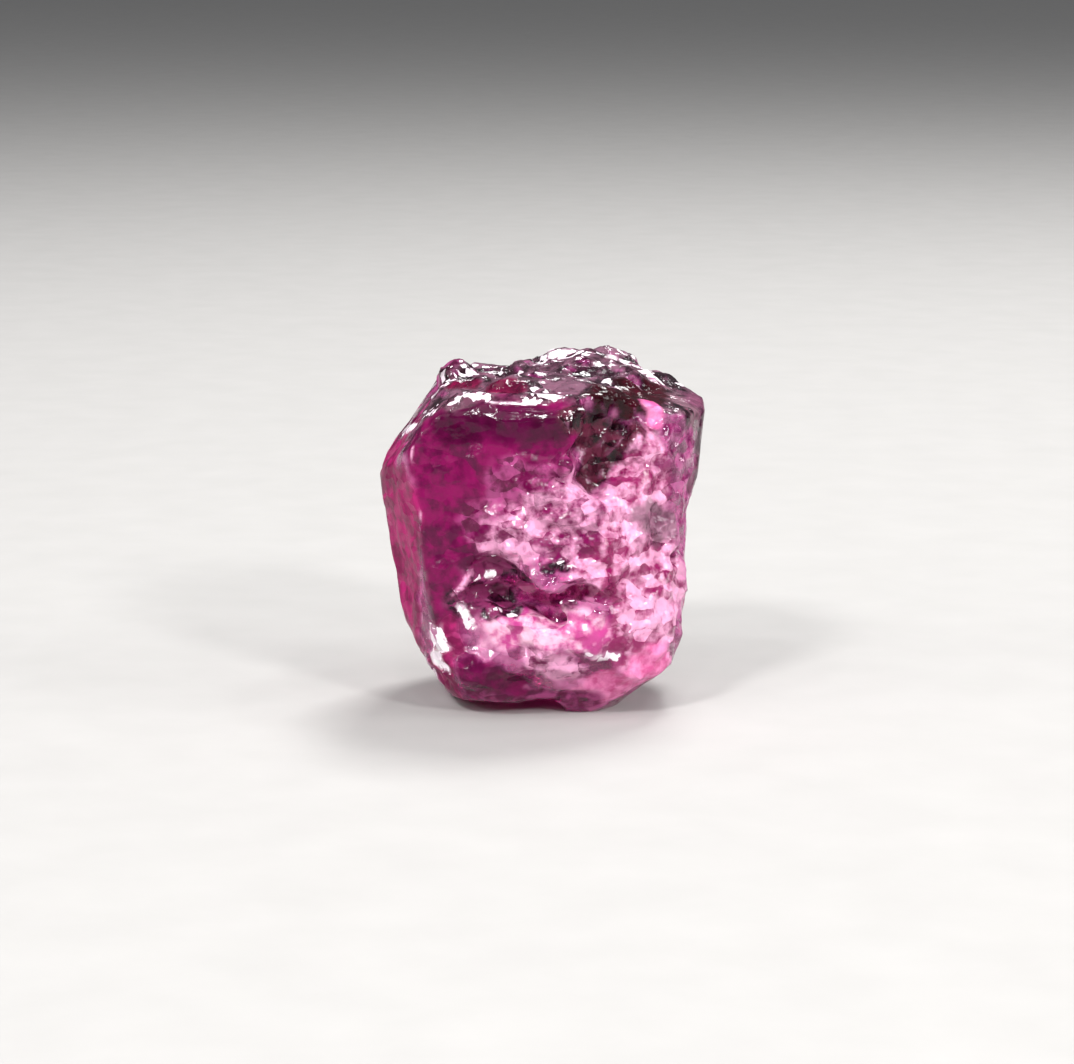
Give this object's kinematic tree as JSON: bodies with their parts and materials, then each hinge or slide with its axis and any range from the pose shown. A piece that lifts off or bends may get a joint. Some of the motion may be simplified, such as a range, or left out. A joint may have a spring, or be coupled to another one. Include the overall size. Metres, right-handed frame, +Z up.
{
  "type": "spinel crystal",
  "caption": "Rough, fractured spinel crystal in clear magenta pink, standing on a flat foot.",
  "frame": {"origin": "middle of the stone's footprint, on the surface it rests on", "axes": "+Z up, the stone's longest side; -Y is the front that the picture shows, +X is its right"},
  "size_m": [0.007, 0.0062, 0.0074],
  "materials": {
    "pink_spinel": "clear natural crystal with glassy breaks and inner fractures"
  },
  "bodies": {
    "root": {"spinel_crystal": "pink_spinel"}
  },
  "joints": []
}
